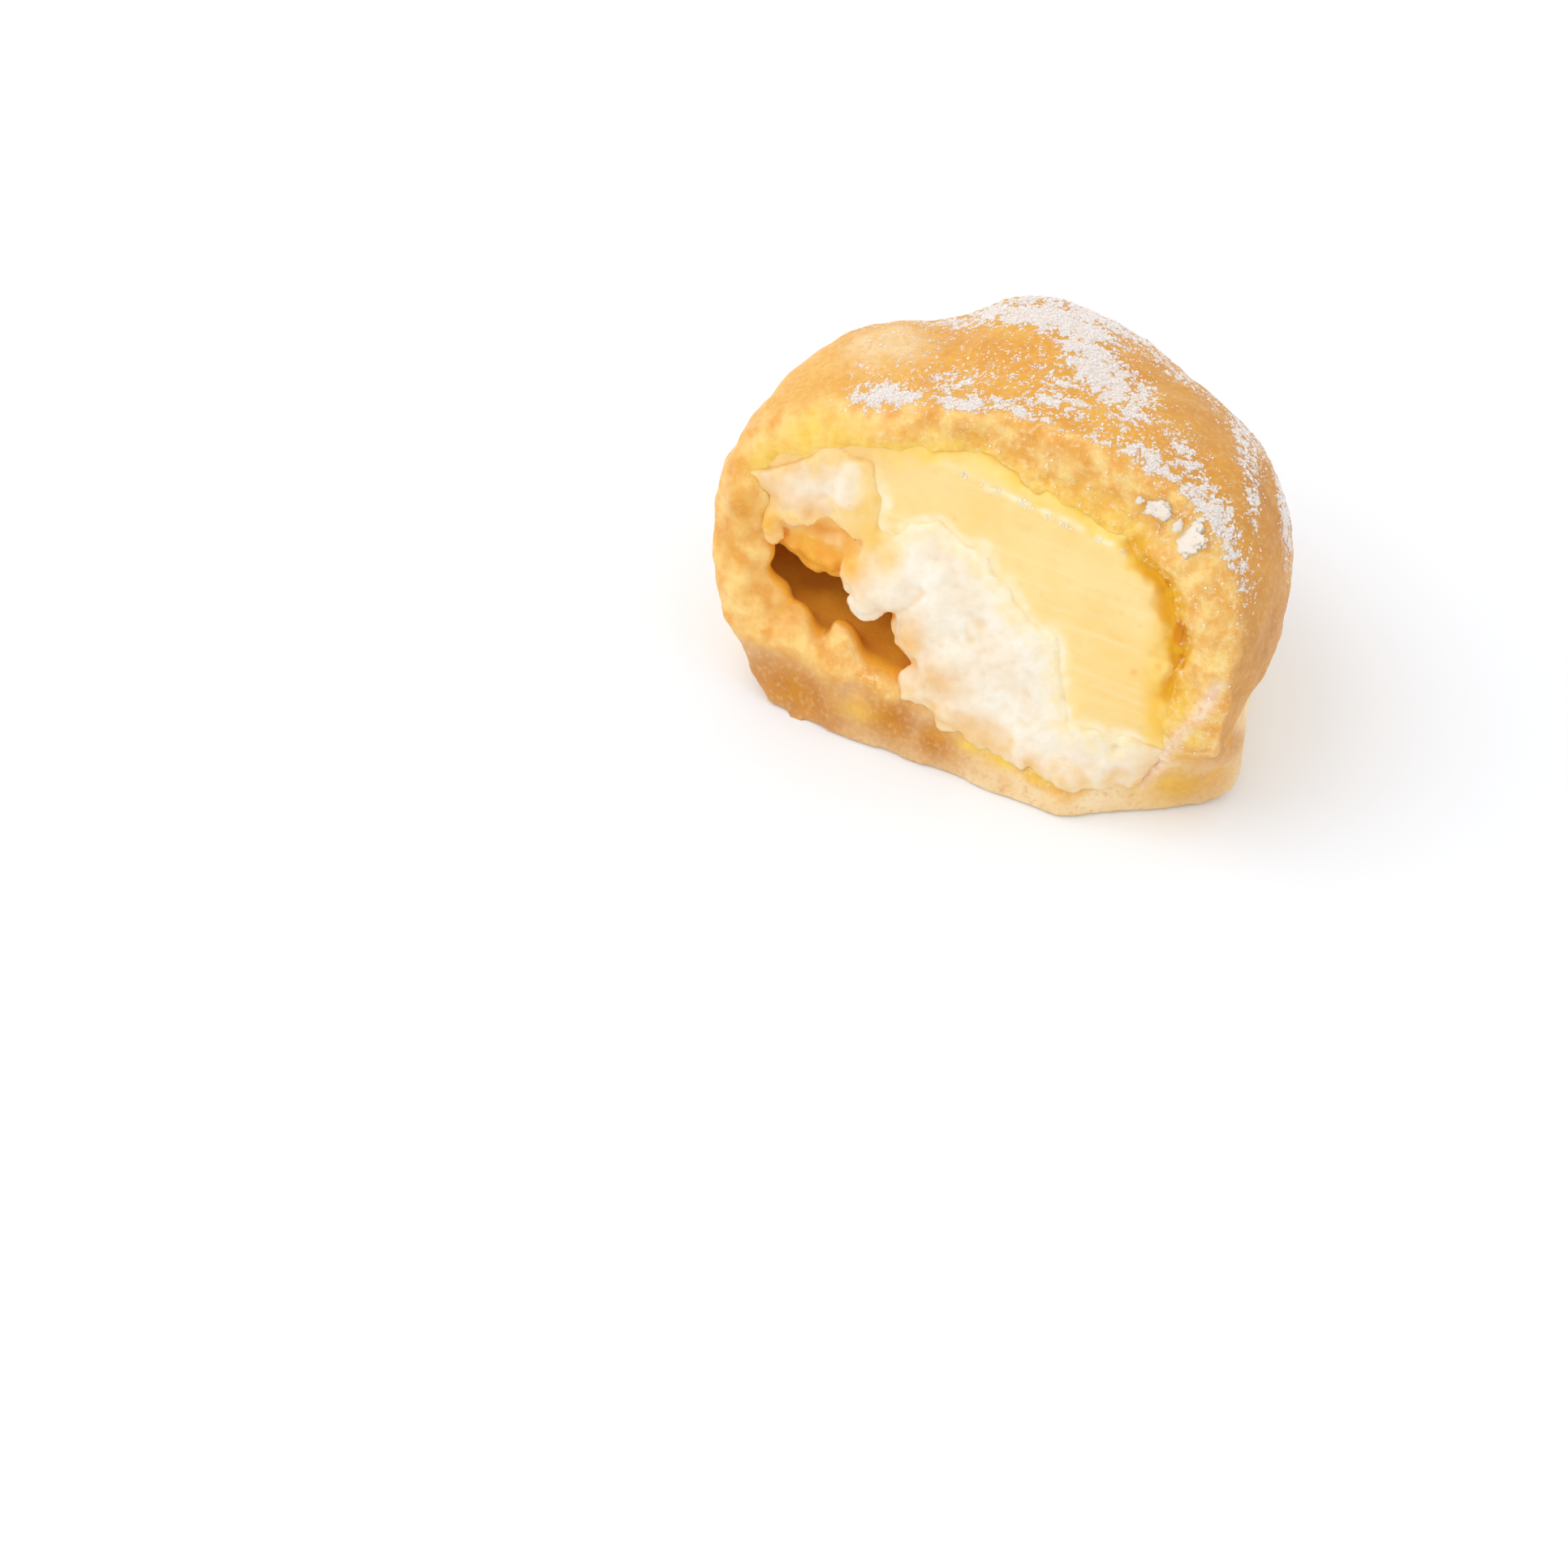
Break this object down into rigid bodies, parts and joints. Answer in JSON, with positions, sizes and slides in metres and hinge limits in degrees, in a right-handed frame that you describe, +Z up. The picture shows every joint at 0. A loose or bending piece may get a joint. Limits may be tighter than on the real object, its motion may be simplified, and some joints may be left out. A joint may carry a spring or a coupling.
{
  "type": "cream-filled fritter",
  "caption": "Round browned dough fritter cut open on one side, showing smooth custard and whipped cream inside an uneven dough shell; it stands on its flat underside",
  "frame": {"origin": "middle of the footprint's bounding box, on the surface that the fritter stands on", "axes": "+Z up, -Y the way the cut face looks, +X to the right of someone who looks at the cut"},
  "size_m": [0.0816, 0.0596, 0.0515],
  "materials": {
    "fried_dough": "golden-brown fried skin with pale moist crumb at the cut and a dusting of icing sugar",
    "custard": "smooth set custard with faint knife drag marks, slightly glossy",
    "whipped_cream": "matte airy whipped cream with a torn, lumpy surface"
  },
  "bodies": {
    "root": {"dough_shell": "fried_dough", "custard": "custard", "whipped_cream": "whipped_cream"}
  },
  "joints": []
}
